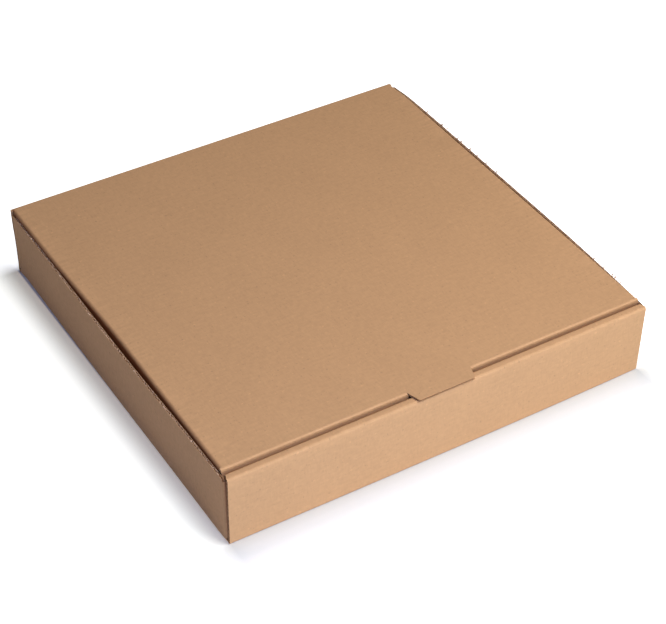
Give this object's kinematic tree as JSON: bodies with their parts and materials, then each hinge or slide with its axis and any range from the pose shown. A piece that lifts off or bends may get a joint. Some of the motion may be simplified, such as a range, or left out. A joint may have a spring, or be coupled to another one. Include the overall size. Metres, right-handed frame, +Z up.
{
  "type": "pizza box",
  "caption": "Square, shallow pizza box folded from brown corrugated board; a hinged lid with tuck-in flaps closes the tray and lifts by a small finger tab at the front.",
  "frame": {"origin": "centre of the tray's underside, midway between the front panel's raw ends and between the front and rear outer faces", "axes": "X to the right, Y from the front panel to the rear wall, Z up from the table"},
  "size_m": [0.3102, 0.3059, 0.0534],
  "materials": {
    "board": "matt brown kraft liner with faint fibres and flute lines, raw die-cut edges"
  },
  "bodies": {
    "tray": {"tray": "board"},
    "lid": {"lid": "board"}
  },
  "joints": [
    {"name": "lid_hinge", "type": "hinge", "parent": "tray", "child": "lid", "pos_m": [0, 0.1525, 0.0534], "axis": [-1, 0, 0], "range_deg": [0, 189]}
  ]
}
